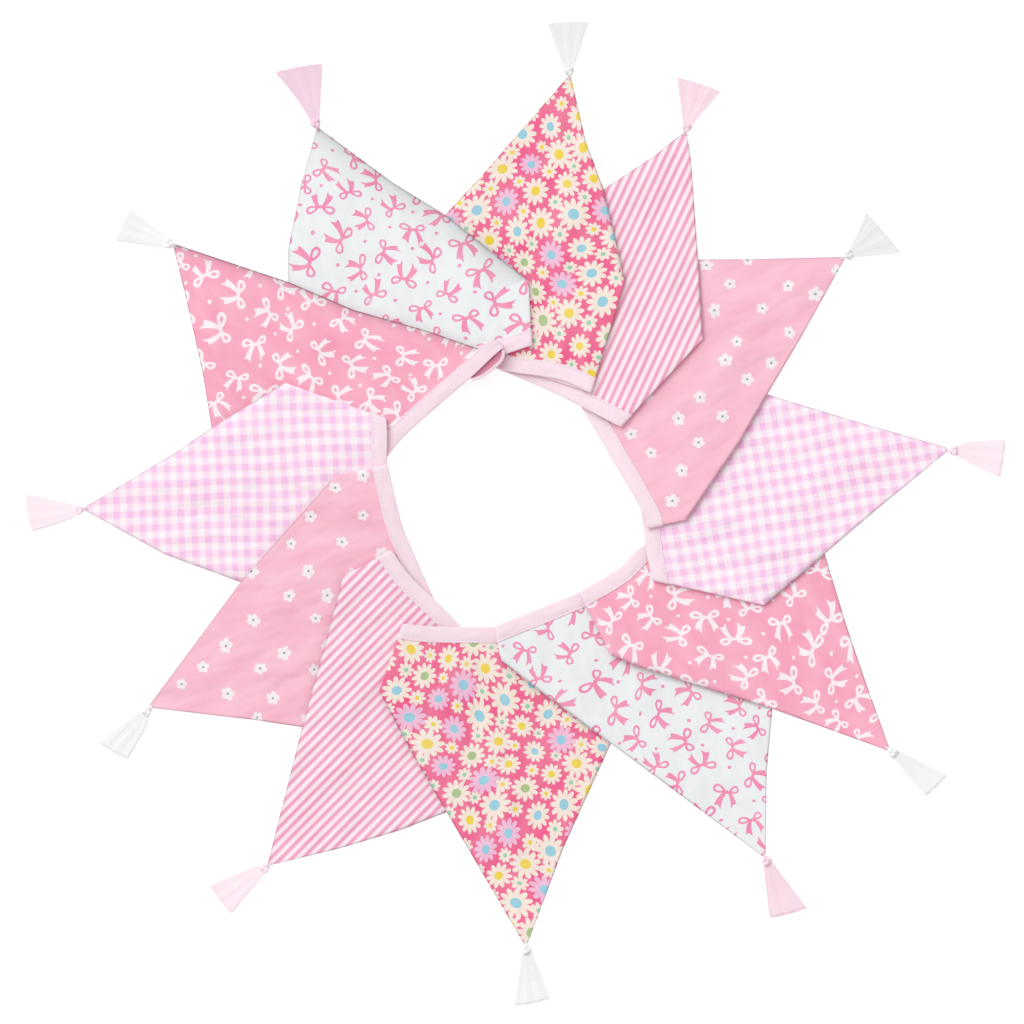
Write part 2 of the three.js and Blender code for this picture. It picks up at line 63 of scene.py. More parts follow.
# The loop's standing tape and its foot, which is turned in under flag 11 from LOOP["turned_in"] on:
# (outward, up, half thickness).
LOOP_SECTION = [
    (0.1, 4.6, 0.7),
    (0.05, 4.4, 0.95),
    (0, 3.2, 0.95),
    (-0.1, 2.0, 0.8),
    (-0.5, 1.2, 0.6),
    (-1.3, 0.8, 0.5),
    (-3.0, 0.65, 0.5),
    (-5.2, 0.6, 0.5),
]
KNOT = {"half_width": 3.4, "height": 5.0, "tube": 1.3, "turn": 0.5, "rings": 40, "sides": 10}
PIECE_GAP = 0.3
INSIDE = 99.0  # the distance to an edge where none is near
HEADING_CURVE = 0.45  # the share of a flag's length over which its rows straighten

# A tassel's fan of threads, which run from a narrow, high neck to a wide, low end.
FAN = {
    "layers": 3,
    "threads": 48,
    "rings": 9,
    "sides": 6,
    "flatten": 0.22,
    "overlap": 2.2,
    "thinnest": 0.14,
    "layer_shift": 0.66,
    "neck_half_width": 2.3,
    "neck_start": 0.6,
    "neck_level": 1.0,
    "neck_layer": 0.85,
    "neck_share": 0.6,
    "end_level": 0.4,
    "end_layer": 0.24,
    "rounding": 0.02,
    "layer_taper": 0.02,
    "ragged_end": 0.008,
    "ragged_level": 0.015,
}
# Waves of level across a fan: (height, waves, how far they move on from tassel to tassel).
PLEATS = [(0.12, 8, 1.7), (0.03, 21, 1.0)]
# The threads that sew a tassel to its flag's tip.
SEWING = {
    "places": (-0.45, 0.0, 0.45),
    "levels": (0.7, 0.8, 0.85, 0.95, 1.3, 1.9),
    "past_tip": 1.6,
    "short_of_middle": 1.0,
    "radius": 0.22,
    "sides": 5,
}
TASSEL_SEED = 100

# How finely the meshes are divided.
GRID = 2.2  # spacing of the cloth's mesh
FEWEST_STEPS = 6
CURVE_STEPS = 60
BEND_STEPS = 8
CLOTH_FLAP_STEPS = 12
TAPE_FLAP_STEPS = 16
TAPE_END_STEPS = 4
MERGE_WITHIN = 2e-6  # metres
TINY = 1e-9

# Where each piece's flat places start, so that no two flags show the same part of a print.
FLAG_PLACE = {"first": 200, "step": 37}
TAPE_PLACE = 300
LOOP_PLACE = 500

# The stage: lengths in metres, and the key light's spread in degrees.
CAMERA = {"height": 1.2, "clip_end": 10}
FLOOR = {"side": 6, "level": -0.0002}
KEY = {"source": (-1.9, 2.3, 3.8), "spread": 45, "strength": 1.83, "tint": (0.836, 1.0, 0.951)}
FILL = {"strength": 0.672, "tint": (1.0, 0.886, 0.919, 1)}

# Pixel coordinates are read from the photograph's 1024 by 1024 frame, x to the right and y down.
OUTLINE_MIDDLE = (516.7, 513.6)
HOLE_MIDDLE = (514, 492)
PHOTO_MIDDLE = (512, 512)
PHOTO_SIDE = 1024

# One row for each flag, clockwise from the top one. foot is an azimuth in degrees; the rest are pixels.
FLAGS = [
    {
        "foot": 334, "print": "daisy",
        "shoulder": (626, 279), "tip": (569, 77.4), "hidden": (431.4, 229.7),
        "rim": [(499, 368.5), (511, 372), (560, 380), (591.3, 393.2)],
        "sewn": [(586, 142), (603.5, 188)],
        "side": [(484, 173)],
    },
    {
        "foot": 351, "print": "stripe",
        "shoulder": (704, 338), "tip": (685, 133), "hidden": (587, 200),
        "rim": [(495, 368), (545, 388.7), (579.8, 405.9), (620.6, 427.9)],
        "sewn": [(691, 160), (698, 257)],
        "side": [(654, 156)],
    },
    {
        "foot": 25, "print": "blossom",
        "shoulder": (687.5, 520), "tip": (843, 258), "hidden": (679, 259.7),
        "rim": [(566, 382), (600.8, 440), (641.3, 510.5), (646.9, 529.1)],
        "sewn": [(800, 339), (738, 444)],
        "side": [(760, 259)],
    },
    {
        "foot": 60, "print": "gingham",
        "shoulder": (765, 606), "tip": (947, 449), "hidden": (751.7, 389.6),
        "rim": [(638.4, 487), (645.4, 542.8), (650.7, 580.3)],
        "sewn": [(876, 510), (827, 552)],
        "side": [(860, 422.5)],
    },
    {
        "foot": 95, "print": "pink_bow",
        "shoulder": (611, 656.3), "tip": (888, 748.5), "hidden": (819.5, 536.4),
        "rim": [(664, 532.4), (640, 547.4), (617.4, 569), (578.5, 592.2)],
        "sewn": [(771.7, 708.6), (634, 665.2)],
        "side": [(866, 683), (846, 624)],
    },
    {
        "foot": 125, "print": "white_bow",
        "shoulder": (500.5, 661.5), "tip": (764.3, 855), "hidden": (774.4, 687.6),
        "rim": [(601.7, 583), (560, 600), (494.3, 626)],
        "sewn": [(668.8, 786.5), (550.8, 699.2)],
        "side": [(766.7, 772)],
    },
    {
        "foot": 155, "print": "daisy",
        "shoulder": (378.3, 692), "tip": (526, 943.5), "hidden": (616.8, 730.8),
        "rim": [(522, 627), (436.5, 626.5), (402.8, 622.6)],
        "sewn": [(484, 876), (411.6, 752.7)],
        "side": [(564, 846.5)],
    },
    {
        "foot": 187, "print": "stripe", "grain": 3.3,
        "shoulder": (341.7, 577.3), "tip": (269.6, 864), "hidden": (465, 805),
        "rim": [(475, 642), (444.2, 609), (410.5, 576), (391.4, 549)],
        "sewn": [(303, 724)],
        "side": [(339, 848.5), (401, 830)],
    },
    {
        "foot": 214, "print": "blossom",
        "shoulder": (333.3, 475.6), "tip": (150.8, 706.5), "hidden": (321, 730),
        "rim": [(440, 612), (411.4, 548), (400, 518), (387.7, 464)],
        "sewn": [(240.4, 582.3)],
        "side": [(255, 720)],
    },
    {
        "foot": 249, "print": "gingham",
        "shoulder": (284.2, 382), "tip": (85.4, 509), "hidden": (258.8, 588.9),
        "rim": [(386, 489), (387.4, 435.7), (387.3, 418)],
        "sewn": [(175, 453), (214, 426)],
        "side": [(165, 554.5)],
    },
    {
        "foot": 279.5, "print": "pink_bow", "edge_shade": (0.42, 2.4),
        "shoulder": None, "tip": (174.5, 246), "hidden": (214, 443.8),
        "rim": [(377, 472), (400.4, 440.3), (440, 404), (468.8, 379.5), (493, 356.6)],
        "sewn": [(288.5, 282), (354, 310), (426.6, 330.6)],
        "side": [(191.5, 322), (204, 380)],
    },
    {
        "foot": 310, "print": "white_bow", "edge_shade": (0.26, 8.0),
        "shoulder": (529, 279.6), "tip": (317.5, 129.5), "hidden": (288.5, 298),
        "rim": [(470, 365), (503.2, 354.9), (532.4, 346)],
        "sewn": [(393.5, 183), (444, 214)],
        "side": [(302, 181), (288, 250)],
    },
]
LOOPED = 11  # the flag whose open corner carries the loop
TAPE_END = {"inner": (504, 347), "outer": (495, 339.5)}
LOOP_ROUTE = [(503.6, 350.4), (502, 359), (495, 366.5), (482.5, 376), (471.5, 380)]

# One row a tassel: the skirt's two end corners in pixels, left and right as seen from the knot, and how
# each side spreads out from the knot (1 is straight, less bulges).
TASSELS = [
    {"look": "grey_white", "left": (548.5, 24), "right": (588, 22), "spread": (1.0, 1.0)},
    {"look": "rose", "left": (678, 78), "right": (720, 91), "spread": (1.0, 1.1)},
    {"look": "grey_white", "left": (866.5, 213), "right": (899.8, 252), "spread": (1.3, 1.0)},
    {"look": "pale_pink", "left": (1005.4, 440), "right": (1000, 477), "spread": (0.65, 0.95)},
    {"look": "white", "left": (946.5, 776), "right": (926, 796), "spread": (0.85, 1.05)},
    {"look": "rose", "left": (806, 908), "right": (770, 918), "spread": (1.0, 1.0)},
    {"look": "white", "left": (549.6, 999), "right": (514.7, 1006), "spread": (1.0, 1.0)},
    {"look": "pale_pink", "left": (231, 913), "right": (210, 886), "spread": (1.0, 0.75)},
    {"look": "white", "left": (126.7, 759), "right": (98.7, 742.6), "spread": (0.6, 0.9)},
    {"look": "pale_pink", "left": (31.6, 530.7), "right": (26, 495), "spread": (0.7, 1.0)},
    {"look": "white", "left": (116, 240), "right": (130, 210), "spread": (0.9, 0.9)},
    {"look": "deep_rose", "left": (276.4, 72.5), "right": (321.6, 63.8), "spread": (1.4, 1.0)},
]
THREADS = {
    "white": ("white_thread", (240, 241, 239)),
    "grey_white": ("white_thread", (232, 234, 233)),
    "pale_pink": ("pink_thread", (250, 231, 239)),
    "rose": ("pink_thread", (244, 217, 229)),
    "deep_rose": ("pink_thread", (237, 206, 222)),
}

# How high one flag stands over the next: (distance from the hole's middle, rise).
RISE = [(0, 4.0), (123, 4.0), (168, 2.85), (204, 1.5), (231, 0), (320, 0)]
TAPE_ZONE = (100, 135)  # the tape's extra half thickness fades out between these distances
SPARE_KNOTS = 2

CREASE_END = 0.12  # how far up its rise a ridge begins and ends, as a share of half a wave
# Soft creases: flag number, then ridges as (from, to, half width mm, height mm).
CREASES = {
    1: [((560, 215), (520, 300), 7, 0.7), ((600, 230), (585, 330), 6, 0.5)],
    2: [((680, 200), (655, 350), 7, 0.5)],
    3: [((760, 300), (690, 430), 8, 0.8), ((700, 290), (700, 400), 7, 0.5)],
    4: [((880, 465), (750, 540), 7, 0.5)],
    5: [
        ((735, 640), (860, 735), 4, 1.1),
        ((690, 600), (700, 680), 5, 0.8),
        ((770, 610), (835, 700), 4, 0.9),
    ],
    6: [((740, 800), (640, 720), 7, 0.6), ((690, 720), (600, 680), 6, 0.5)],
    7: [((520, 880), (490, 760), 7, 0.6), ((470, 730), (440, 680), 6, 0.5)],
    8: [((320, 800), (360, 680), 7, 0.5)],
    9: [((220, 660), (330, 560), 8, 0.8), ((280, 680), (330, 640), 6, 0.5)],
    10: [((140, 500), (280, 470), 8, 0.5), ((210, 450), (270, 410), 6, 0.5)],
    11: [
        ((200, 275), (228, 385), 4, 1.1),
        ((225, 275), (330, 340), 4, 1.0),
        ((225, 310), (275, 370), 4, 0.9),
        ((320, 325), (395, 365), 5, 0.9),
        ((345, 350), (420, 385), 4, 0.7),
    ],
    12: [
        ((330, 170), (340, 270), 6, 0.7),
        ((400, 210), (440, 300), 7, 0.7),
        ((470, 260), (480, 320), 6, 0.5),
    ],
}


def on_plan(pixel):
    x = (pixel[0] - OUTLINE_MIDDLE[0]) * MM_PER_PIXEL
    y = (OUTLINE_MIDDLE[1] - pixel[1]) * MM_PER_PIXEL
    return np.array([x, y])


MIDDLE = on_plan(HOLE_MIDDLE)


def unit(vector):
    return vector / np.linalg.norm(vector, axis=-1, keepdims=True)


def square_to(vector):
    """A quarter turn anticlockwise."""
    return np.stack([-vector[..., 1], vector[..., 0]], axis=-1)


def directions(line):
    """A line's unit direction at each of its points."""
    return unit(np.gradient(line, axis=0))


def lerp(low, high, share):
    return low + (high - low) * share


def smooth_through(knots, x):
    """A smooth curve through (x, y) knots, level at both ends."""
    xs, ys = np.array(knots, float).T
    slopes = np.zeros(len(xs))
    slopes[1:-1] = (ys[2:] - ys[:-2]) / (xs[2:] - xs[:-2])
    i = np.clip(np.searchsorted(xs, x, side="right") - 1, 0, len(xs) - 2)
    width = xs[i + 1] - xs[i]
    t = np.clip((x - xs[i]) / width, 0, 1)
    return (
        (2 * t**3 - 3 * t**2 + 1) * ys[i]
        + (t**3 - 2 * t**2 + t) * width * slopes[i]
        + (3 * t**2 - 2 * t**3) * ys[i + 1]
        + (t**3 - t**2) * width * slopes[i + 1]
    )


def turn_knots():
    """(azimuth, order round the ring) for one turn from north, with spares at each end."""
    first = min(range(len(FLAGS)), key=lambda index: FLAGS[index]["foot"])
    knots = []
    for step in range(-SPARE_KNOTS, len(FLAGS) + SPARE_KNOTS):
        order = first + step
        turns = step // len(FLAGS)
        knots.append((FLAGS[order % len(FLAGS)]["foot"] + 360 * turns, order + 1))
    return knots


TURN_KNOTS = turn_knots()


def steps_up(points, number):
    """Steps of height at each place for a flag: 0 at its own foot, 1 where the next flag's foot is."""
    azimuth = np.degrees(np.arctan2(points[:, 0] - MIDDLE[0], points[:, 1] - MIDDLE[1])) % 360
    turn = smooth_through(TURN_KNOTS, azimuth)
    return np.maximum(0, (turn - number + 1) % len(FLAGS) - 1)


def crease_height(points, number):
    """The tallest of a flag's soft ridges at each place."""
    tallest = np.zeros(len(points))
    for start, end, half_width, tall in CREASES.get(number, []):
        a, b = on_plan(start), on_plan(end)
        share = np.clip((points - a) @ (b - a) / ((b - a) @ (b - a)), 0, 1)
        aside = np.linalg.norm(points - (a + np.outer(share, b - a)), axis=1)
        fade = np.sin(math.pi * lerp(CREASE_END, 1 - CREASE_END, share))
        tallest = np.maximum(tallest, tall * fade * np.exp(-((aside / half_width) ** 2)))
    return tallest


def height(points, number):
    """The level of a flag's mid thickness."""
    radius = np.linalg.norm(points - MIDDLE, axis=1)
    far = np.clip((radius - TAPE_ZONE[0]) / (TAPE_ZONE[1] - TAPE_ZONE[0]), 0, 1)
    tape_share = 1 - far * far * (3 - 2 * far)
    base = CLOTH / 2 + tape_share * (TAPE - CLOTH) / 2
    rise = np.maximum(0, smooth_through(RISE, radius))
    return base + rise * steps_up(points, number) + crease_height(points, number) * (1 - tape_share)


class Lay:
    """Where the places of a flag's flat cut piece lie, its corner folded under where it has a fold."""

    def __init__(self, flag, number):
        self.number = number
        rim = [on_plan(p) for p in flag["rim"]]
        self.folded = flag["shoulder"] is not None
        if self.folded:
            shoulder = on_plan(flag["shoulder"])
            out = square_to(unit(shoulder - rim[-1]))
            if out @ (rim[-1] - rim[-2]) < 0:
                out = -out
            self.start = rim[-1] - out * (TAPE_BEND + TAPE / 2)
            self.end = shoulder - out * (CLOTH_BEND + SOLID_CLOTH / 2)
            self.length = np.linalg.norm(self.end - self.start)
            self.along = (self.end - self.start) / self.length
            self.out = square_to(self.along) * np.sign(square_to(self.along) @ out)
            rim[-1] = self.start
        self.tip = on_plan(flag["tip"])
        self.rim = even_points(rim, spacing=GRID)
        self.aside = square_to(directions(self.rim))
        if self.folded:
            share = np.linspace(0, 1, len(self.rim))[:, None] ** 2
            slanted = self.along / (self.aside @ self.along)[:, None]
            self.aside = lerp(self.aside, slanted, share)
            spare = FLAG_SIDE - np.linalg.norm(self.tip - self.end)
            self.corner = self.end + unit(self.end - self.tip) * spare
            self.corner_width = (self.corner - self.start) @ self.out

    def seam(self, width):
        """The line at a width from the tape's inner edge."""
        return self.rim + self.aside * width

    def bend(self, points):
        """The radius of the fold's bend beside each place."""
        reach = (points - self.start) @ self.along
        share = np.clip((reach - TAPE_WIDTH) / (self.length - TAPE_WIDTH), 0, 1)
        return lerp(TAPE_BEND, CLOTH_BEND, share)

    def __call__(self, points, offset):
        """Places in space for flat places, offset from mid thickness."""
        points = np.asarray(points, float)
        offset = np.broadcast_to(offset, len(points))
        if not self.folded:
            return np.column_stack([points, height(points, self.number) + offset])
        past = np.maximum(0, (points - self.start) @ self.out)
        bend = self.bend(points)
        angle = np.minimum(past / bend, math.pi)
        back = np.maximum(0, past - math.pi * bend)
        foot = points - np.outer(past, self.out)
        place = foot + np.outer((bend + offset) * np.sin(angle) - back, self.out)
        level = height(np.where((back > 0)[:, None], place, foot), self.number)
        return np.column_stack([place, level - bend + (bend + offset) * np.cos(angle)])


def even_points(points, spacing=None, count=None):
    """Points evenly spaced along a Catmull-Rom curve through the given ones."""
    points = np.array(points, float)
    last = len(points) - 1
    t = np.linspace(0, 1, CURVE_STEPS, endpoint=False)[:, None]
    dense = []
    for i in range(last):
        p0, p1, p2, p3 = (points[min(max(j, 0), last)] for j in range(i - 1, i + 3))
        v0, v1 = (p2 - p0) / 2, (p3 - p1) / 2
        cubic = (2 * p1 - 2 * p2 + v0 + v1) * t**3
        square = (-3 * p1 + 3 * p2 - 2 * v0 - v1) * t**2
        dense.append(cubic + square + v0 * t + p1)
    dense = np.vstack(dense + [points[-1:]])
    count = count or max(FEWEST_STEPS, round(line_length(dense) / spacing))
    return at_shares(dense, np.linspace(0, 1, count + 1))


def run_along(line):
    """The distance along a line to each of its points."""
    return np.append(0, np.cumsum(np.linalg.norm(np.diff(line, axis=0), axis=1)))


def line_length(line):
    return run_along(line)[-1]


def at_shares(line, shares):
    """Points at shares of a line's length."""
    run = run_along(line)
    at = np.asarray(shares) * run[-1]
    return np.stack([np.interp(at, run, values) for values in np.array(line, float).T], axis=1)


# Meshes.


class Mesh:
    """Vertices in millimetres, and faces.

    Each vertex has a cut, its place on the flat cut piece, and an edge: how far it is from the nearest open
    edge, and an extra shade.
    """

    def __init__(self):
        self.points = []
        self.cut = []
        self.edge = []
        self.faces = []
        self.flat_faces = []
        self.materials = []

    def add(self, points, faces, cut=None, edge=None, flat=False):
        """Adds points, and faces that number them from 0."""
        shift = len(self.points)
        self.points += [tuple(p) for p in points]
        self.cut += [(0, 0)] * len(points) if cut is None else [tuple(c) for c in cut]
        self.edge += [(INSIDE, 0)] * len(points) if edge is None else [tuple(e) for e in edge]
        self.add_faces(faces, shift, flat)

    def add_faces(self, faces, shift, flat):
        for face in faces:
            self.faces.append([i + shift for i in face])
            self.flat_faces.append(flat)
            self.materials.append(0)

    def add_sheet(self, over, under, cut, edge=None):
        """A closed thin sheet from two grids of points of the same shape."""
        rows, columns = over.shape[:2]
        size = rows * columns
        number = np.arange(size).reshape(rows, columns)
        corners = [number[:-1, :-1], number[1:, :-1], number[1:, 1:], number[:-1, 1:]]
        quads = np.stack([c.ravel() for c in corners], axis=1)
        faces = quads.tolist() + (quads[:, ::-1] + size).tolist()
        points = np.vstack([over.reshape(size, 3), under.reshape(size, 3)])
        both_cuts = np.tile(cut.reshape(size, 2), (2, 1))
        both_edges = None if edge is None else np.tile(edge.reshape(size, 2), (2, 1))
        shift = len(self.points)
        self.add(points, faces, both_cuts, both_edges)

        round_it = [number[:, 0], number[-1, 1:], number[::-1, -1][1:], number[0, ::-1][1:]]
        border = np.concatenate(round_it).tolist()
        walls = [[b, a, a + size, b + size] for a, b in zip(border[:-1], border[1:])]
        self.add_faces(walls, shift, True)

    def add_tube(self, route, radius, sides, flatten=1.0, flat=False):
        """A closed tube along a route that is nowhere upright; radius is one number or one a point."""
        radius = np.broadcast_to(radius, len(route))[:, None]
        tangent = directions(route)
        side = unit(np.cross(tangent, [0.0, 0.0, 1.0]))
        top = np.cross(side, tangent)
        rings = []
        for k in range(sides):
            angle = math.pi * (0.5 + 2 * k / sides)
            across = side * math.cos(angle) + top * math.sin(angle) * flatten
            rings.append(route + across * radius)
        points = np.stack(rings, axis=1).reshape(-1, 3)

        faces = []
        for first in range(0, (len(route) - 1) * sides, sides):
            for k in range(sides):
                after = (k + 1) % sides
                faces.append([first + i for i in (k, after, sides + after, sides + k)])
        last = (len(route) - 1) * sides
        faces.append(list(range(sides))[::-1])
        faces.append([last + k for k in range(sides)])
        cut = [(k / sides, run) for run in run_along(route) for k in range(sides)]
        self.add(points, faces, cut, flat=flat)

    def build(self, name, materials):
        mesh = bpy.data.meshes.new(name)
        mesh.from_pydata([tuple(c * MM for c in p) for p in self.points], [], self.faces)
        for title, places in (("cut", self.cut), ("edge", self.edge)):
            layer = mesh.uv_layers.new(name=title)
            for loop in mesh.loops:
                layer.data[loop.index].uv = places[loop.vertex_index]
        for polygon in mesh.polygons:
            polygon.use_smooth = not self.flat_faces[polygon.index]
            polygon.material_index = self.materials[polygon.index]
        joined = bmesh.new()
        joined.from_mesh(mesh)
        bmesh.ops.remove_doubles(joined, verts=joined.verts, dist=MERGE_WITHIN)
        bmesh.ops.recalc_face_normals(joined, faces=joined.faces)
        joined.to_mesh(mesh)
        joined.free()
        for material in materials:
            mesh.materials.append(material)
        piece = bpy.data.objects.new(name, mesh)
        bpy.context.scene.collection.objects.link(piece)
        return piece


# Materials. Fields are numbers that vary over the cloth, worked out by Math nodes.

COTTON = {"Roughness": 0.85, "Specular IOR Level": 0.2, "Sheen Weight": 0.1, "Sheen Roughness": 0.4}
TAPE_COTTON = {**COTTON, "Roughness": 0.8}
SILKY_THREAD = {**COTTON, "Roughness": 0.55, "Sheen Weight": 0.3}
FLOOR_LOOK = {
    "Base Color": (0.25, 0.25, 0.25, 1),
    "Roughness": 0.9,
    "Specular IOR Level": 0.0,
    "Emission Color": (1, 1, 1, 1),
    "Emission Strength": 0.82,
}
WEAVE = {"pitch": 0.5, "strength": 0.35, "depth": 0.06}
SLUB = {"scale": 1.1, "strength": 1.5}  # the uneven thickness of the woven threads
LOOSE = {"scale": 0.055, "stretch": 0.45, "depth": 2.8}  # the soft waves of cloth that lies loosely
DYE = {"scale": 0.07, "stretch": 0.5, "value": (0.97, 0.06), "saturation": (1.16, 0.32)}
# Painted shade: a darker line along each open edge of the cloth.
EDGE_LINE_SHADE = {"reach": 1.2, "fade": 0.7, "shade": 0.2}  # the darker line along an open edge
PATCH_DETAIL = 2.0
MIX = {"share": 0, "under": 6, "over": 7, "colour": 2}  # a Mix node's sockets for colours, by number


def colour(red, green, blue):
    """A colour as it is seen, from 11 to 255 in each channel, as Blender's linear colour."""
    linear = [((c / 255 + 0.055) / 1.055) ** 2.4 for c in (red, green, blue)]
    return (*linear, 1.0)


def new_material(name, look):
    """A material whose shader's sockets are set by name."""
    material = bpy.data.materials.new(name)
    material.use_nodes = True
    for socket, value in look.items():
        material.node_tree.nodes["Principled BSDF"].inputs[socket].default_value = value
    return material


def operator(operation):
    return lambda field, other: field.graph.math(operation, field, other)


class Field:
    """A number that varies over the cloth."""

    __add__ = operator("ADD")
    __sub__ = operator("SUBTRACT")
    __mul__ = operator("MULTIPLY")
    __truediv__ = operator("DIVIDE")
    __lt__ = operator("LESS_THAN")
    __gt__ = operator("GREATER_THAN")

    def __init__(self, graph, socket):
        self.graph = graph
        self.socket = socket

    def __rsub__(self, other):
        return self.graph.math("SUBTRACT", other, self)

    def call(self, operation, other=None):
        return self.graph.math(operation, self, other)

    def clamped(self):
        """Held between 0 and 1."""
        return self.call("MAXIMUM", 0.0).call("MINIMUM", 1.0)


class Graph:
    """A cloth's material: its print is built from fields of the place on the flat cut piece."""

    def __init__(self, name, look=COTTON):
        self.material = new_material(name, look)
        self.nodes = self.material.node_tree.nodes
        self.links = self.material.node_tree.links
        self.shader = self.nodes["Principled BSDF"]
        self.place = self.layer("cut")
        self.across, self.down, _ = self.split(self.place)
        self.from_edge, self.edge_shade, _ = self.split(self.layer("edge"))

    def layer(self, name):
        node = self.nodes.new("ShaderNodeUVMap")
        node.uv_map = name
        return node.outputs["UV"]

    def feed(self, node, name, value):
        if isinstance(value, Field):
            self.links.new(value.socket, node.inputs[name])
        elif isinstance(value, bpy.types.NodeSocket):
            self.links.new(value, node.inputs[name])
        elif value is not None:
            node.inputs[name].default_value = value

    def math(self, operation, first, second=None):
        node = self.nodes.new("ShaderNodeMath")
        node.operation = operation
        self.feed(node, 0, first)
        self.feed(node, 1, second)
        return Field(self, node.outputs[0])

    def split(self, socket):
        node = self.nodes.new("ShaderNodeSeparateXYZ")
        self.links.new(socket, node.inputs[0])
        return [Field(self, output) for output in node.outputs]

    def vector(self, x, y):
        node = self.nodes.new("ShaderNodeCombineXYZ")
        self.feed(node, 0, x)
        self.feed(node, 1, y)
        return node.outputs[0]

    def paint(self, share, under, over):
        node = self.nodes.new("ShaderNodeMix")
        node.data_type = "RGBA"
        self.feed(node, MIX["share"], share)
        self.feed(node, MIX["under"], under)
        self.feed(node, MIX["over"], over)
        return node.outputs[MIX["colour"]]

    def noise(self, vector, scale, detail):
        node = self.nodes.new("ShaderNodeTexNoise")
        node.noise_dimensions = "2D"
        self.feed(node, "Vector", vector)
        node.inputs["Scale"].default_value = scale
        node.inputs["Detail"].default_value = detail
        return node.outputs

    def patches(self, vector, scale):
        """A field of soft random patches."""
        return Field(self, self.noise(vector, scale, PATCH_DETAIL)["Fac"])

    def motifs(self, x, y, pitch, scatter, shift):
        """The place in the nearest motif's own turned frame, and two random shares of the motif."""
        node = self.nodes.new("ShaderNodeTexVoronoi")
        node.voronoi_dimensions = "2D"
        node.feature = "F1"
        cell_x = x / pitch + shift
        cell_y = y / pitch + shift
        self.feed(node, "Vector", self.vector(cell_x, cell_y))
        node.inputs["Scale"].default_value = 1.0
        node.inputs["Randomness"].default_value = scatter
        centre_x, centre_y, _ = self.split(node.outputs["Position"])
        turn, size, kind = self.split(node.outputs["Color"])
        local_x = (cell_x - centre_x) * pitch
        local_y = (cell_y - centre_y) * pitch
        angle = turn * (2 * math.pi)
        cosine = angle.call("COSINE")
        sine = angle.call("SINE")
        return local_x * cosine + local_y * sine, local_y * cosine - local_x * sine, size, kind

    def wandering(self, amount, scale):
        """The place on the cloth, moved about a little, so that a repeat looks printed by hand."""
        shift_x, shift_y, _ = self.split(self.noise(self.place, scale, 0.0)["Color"])
        return self.across + (shift_x - 0.5) * amount, self.down + (shift_y - 0.5) * amount

    def weave(self):
        """Raises the woven threads both ways, over the cloth's soft waves."""
        rows = wave(self.across, WEAVE["pitch"], "SINE")
        columns = wave(self.down, WEAVE["pitch"], "SINE")
        slub = self.patches(self.place, SLUB["scale"])
        loose = self.patches(self.vector(self.across, self.down * LOOSE["stretch"]), LOOSE["scale"])
        soft = self.bump(loose, 1.0, LOOSE["depth"])
        fine = self.bump(rows * columns + slub * SLUB["strength"], WEAVE["strength"], WEAVE["depth"])
        self.links.new(soft.outputs[0], fine.inputs["Normal"])
        self.links.new(fine.outputs[0], self.shader.inputs["Normal"])

    def bump(self, level, strength, depth):
        node = self.nodes.new("ShaderNodeBump")
        node.inputs["Strength"].default_value = strength
        node.inputs["Distance"].default_value = depth * MM
        self.feed(node, "Height", level)
        return node

    def finish(self, shade):
        """Sets the colour, a little uneven as dyed cotton is, with painted shade along open edges and along
        some sewn edges, and the weave.
        """
        fading = self.nodes.new("ShaderNodeHueSaturation")
        dye = self.patches(self.vector(self.across, self.down * DYE["stretch"]), DYE["scale"])
        # Painted shade: a darker line near an open edge, and the flag's own broader painted shade along its
        # sewn edge.
        painted_edge_line = ((EDGE_LINE_SHADE["reach"] - self.from_edge) / EDGE_LINE_SHADE["fade"]).clamped()
        even_value, more_value = DYE["value"]
        even_saturation, less_saturation = DYE["saturation"]
        value = dye * more_value + even_value - painted_edge_line * EDGE_LINE_SHADE["shade"] - self.edge_shade
        self.feed(fading, "Value", value)
        self.feed(fading, "Saturation", even_saturation - dye * less_saturation)
        self.feed(fading, "Color", shade)
        self.feed(self.shader, "Base Color", fading.outputs["Color"])
        self.weave()
        return self.material


def turned(x, y, degrees):
    cosine, sine = math.cos(math.radians(degrees)), math.sin(math.radians(degrees))
    return x * cosine + y * sine, y * cosine - x * sine


def wave(place, pitch, form):
    return (place * (2 * math.pi / pitch)).call(form)


def length_of(x, y):
    return (x * x + y * y).call("SQRT")


def petals(x, y, count, radius, waist):
    """Inside or not a flower of round-ended petals; waist is the notch's share of the radius."""
    bluntness = 0.7
    angle = y.call("ARCTAN2", x)
    lobe = (angle * (count / 2)).call("COSINE").call("ABSOLUTE").call("POWER", bluntness)
    return length_of(x, y) < (lobe * (1 - waist) + waist) * radius


